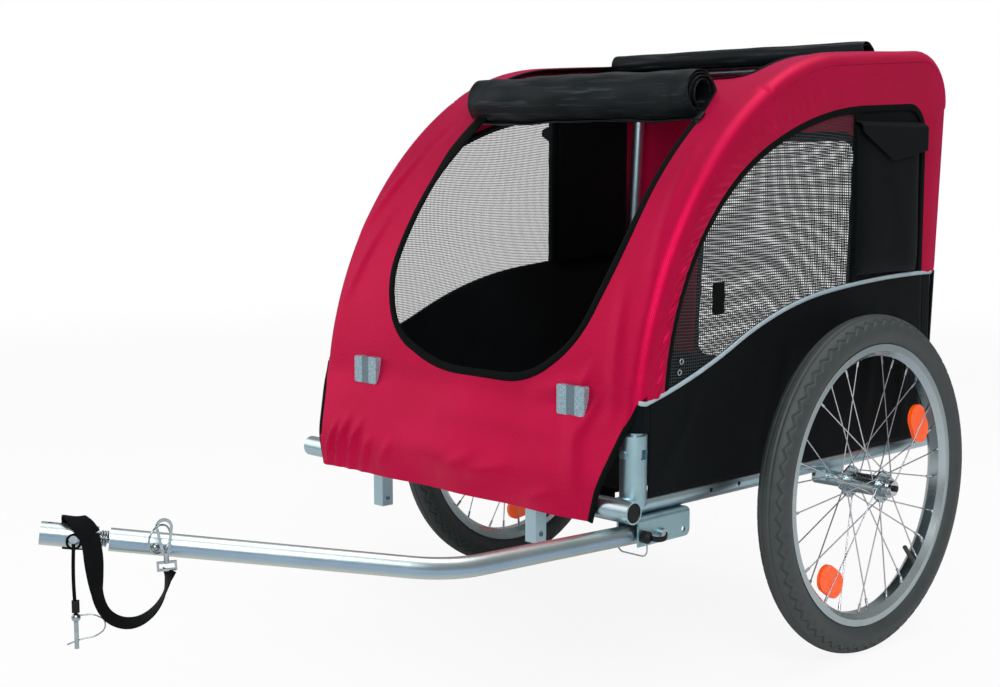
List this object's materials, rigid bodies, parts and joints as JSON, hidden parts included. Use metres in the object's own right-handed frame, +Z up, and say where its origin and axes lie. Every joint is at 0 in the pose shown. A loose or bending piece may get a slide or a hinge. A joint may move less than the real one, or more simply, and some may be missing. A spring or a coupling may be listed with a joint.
{
  "type": "dog bike trailer",
  "caption": "Two-wheeled pet trailer for a bicycle: tube frame, cloth cabin on hoops with front door, roof hatch and net windows, and a bent side tow bar with spring hitch.",
  "frame": {"origin": "point on the ground under the middle of the axle line", "axes": "+X to the trailer's left, the side of the tow bar; +Y to the rear; +Z up"},
  "size_m": [0.8446, 1.4425, 0.8988],
  "materials": {
    "zinc_tube": "bright zinc plate",
    "satin_steel": "satin plated",
    "bright_steel": "bright plated",
    "black_plastic": "moulded",
    "floor_panel": "cloth-covered board",
    "webbing": "woven",
    "cord": "braided",
    "tyre_rubber": "matte rubber",
    "rim_alloy": "satin",
    "chrome_wire": "bright",
    "bearing_steel": "ground",
    "orange_reflector": "clear moulded",
    "clear_reflector": "clear moulded",
    "valve_rubber": "matte",
    "button_plastic": "moulded",
    "red_cloth": "coated polyester",
    "black_cloth": "coated polyester",
    "black_net": "open net"
  },
  "bodies": {
    "trailer": {"front_cross_tube": "zinc_tube", "side_tubes": "zinc_tube", "floor_cross_tubes": "zinc_tube", "hoop_left": "zinc_tube", "hoop_right": "zinc_tube", "cross_bars": "zinc_tube", "front_legs": "zinc_tube", "axle_receivers": "zinc_tube", "tow_bar": "zinc_tube", "front_sockets": "satin_steel", "rear_sockets": "satin_steel", "hitch_channel": "satin_steel", "socket_bolts": "bright_steel", "tow_pivot_bolt": "bright_steel", "bar_clip": "bright_steel", "coupling_spring": "bright_steel", "snap_hook": "bright_steel", "tube_end_plugs": "black_plastic", "floor_board": "floor_panel", "axle_left": "chrome_wire", "pocket_left": "black_cloth", "axle_right": "chrome_wire", "pocket_right": "black_cloth", "front_panel": "red_cloth", "roof_panel": "red_cloth", "rear_panel": "red_cloth", "front_flap_roll": "black_cloth", "roof_flap_roll": "black_cloth", "side_skirts": "black_cloth", "side_bands": "red_cloth", "window_nets": "black_net", "front_reflectors": "clear_reflector"},
    "wheel_left": {"tyre_left": "tyre_rubber", "rim_left": "rim_alloy", "hub_left": "rim_alloy", "spokes_left": "chrome_wire", "bearings_left": "bearing_steel", "wheel_reflectors_left": "orange_reflector", "valve_left": "valve_rubber"},
    "wheel_right": {"tyre_right": "tyre_rubber", "rim_right": "rim_alloy", "hub_right": "rim_alloy", "spokes_right": "chrome_wire", "bearings_right": "bearing_steel", "wheel_reflectors_right": "orange_reflector", "valve_right": "valve_rubber"},
    "release_left": {"release_button_left": "button_plastic"},
    "release_right": {"release_button_right": "button_plastic"},
    "coupling": {"coupling_core": "bright_steel"},
    "hitch": {"hitch_stub": "zinc_tube", "stub_bolt": "bright_steel", "safety_strap": "webbing", "pin_lanyard": "cord", "hitch_pin": "bright_steel"},
    "hitch_wire": {"hitch_pin_wire": "bright_steel"},
    "lock_pin": {"tow_lock_pin": "black_plastic", "lock_pin_wire": "bright_steel"},
    "hook_gate": {"snap_gate": "bright_steel"},
    "flap_left": {"pocket_flap_left": "black_cloth"},
    "flap_right": {"pocket_flap_right": "black_cloth"}
  },
  "joints": [
    {"name": "wheel_left_spin", "type": "hinge", "parent": "trailer", "child": "wheel_left", "pos_m": [0.371, 0, 0.25], "axis": [1, 0, 0], "continuous": true},
    {"name": "release_left_press", "type": "slide", "parent": "trailer", "child": "release_left", "axis": [-1, 0, 0], "range_m": [0, 0.004], "stiffness_N_per_m": 500},
    {"name": "flap_left_lift", "type": "hinge", "parent": "trailer", "child": "flap_left", "pos_m": [0.3223, 0.11, 0.781], "axis": [0, -1, 0], "range_deg": [0, 85]},
    {"name": "wheel_right_spin", "type": "hinge", "parent": "trailer", "child": "wheel_right", "pos_m": [-0.371, 0, 0.25], "axis": [1, 0, 0], "continuous": true},
    {"name": "release_right_press", "type": "slide", "parent": "trailer", "child": "release_right", "axis": [1, 0, 0], "range_m": [0, 0.004], "stiffness_N_per_m": 500},
    {"name": "flap_right_lift", "type": "hinge", "parent": "trailer", "child": "flap_right", "pos_m": [-0.3223, 0.11, 0.781], "axis": [0, 1, 0], "range_deg": [0, 85]},
    {"name": "hitch_yaw", "type": "hinge", "parent": "trailer", "child": "coupling", "pos_m": [0.09652, -1.09515, 0.30705], "axis": [0.0787, 0.1225, 0.9893], "range_deg": [-40, 40], "stiffness_Nm_per_rad": 60, "deforming": ["coupling_spring", "safety_strap"]},
    {"name": "hitch_pitch", "type": "hinge", "parent": "coupling", "child": "hitch", "pos_m": [0.09652, -1.09515, 0.30705], "axis": [0.8414, -0.5404, 0], "range_deg": [-25, 25], "stiffness_Nm_per_rad": 60, "deforming": ["coupling_spring", "safety_strap"]},
    {"name": "lock_pin_pull", "type": "slide", "parent": "trailer", "child": "lock_pin", "axis": [1, 0, 0], "range_m": [0, 0.055], "deforming": ["lock_pin_wire"]},
    {"name": "hook_gate_open", "type": "hinge", "parent": "trailer", "child": "hook_gate", "pos_m": [0.14947, -1.05618, 0.30504], "axis": [-0.8414, 0.5404, 0], "range_deg": [0, 25], "stiffness_Nm_per_rad": 0.05},
    {"name": "hitch_wire_open", "type": "hinge", "parent": "hitch", "child": "hitch_wire", "pos_m": [0.09256, -1.12999, 0.22388], "axis": [0.8414, -0.5404, 0], "range_deg": [0, 100]}
  ]
}
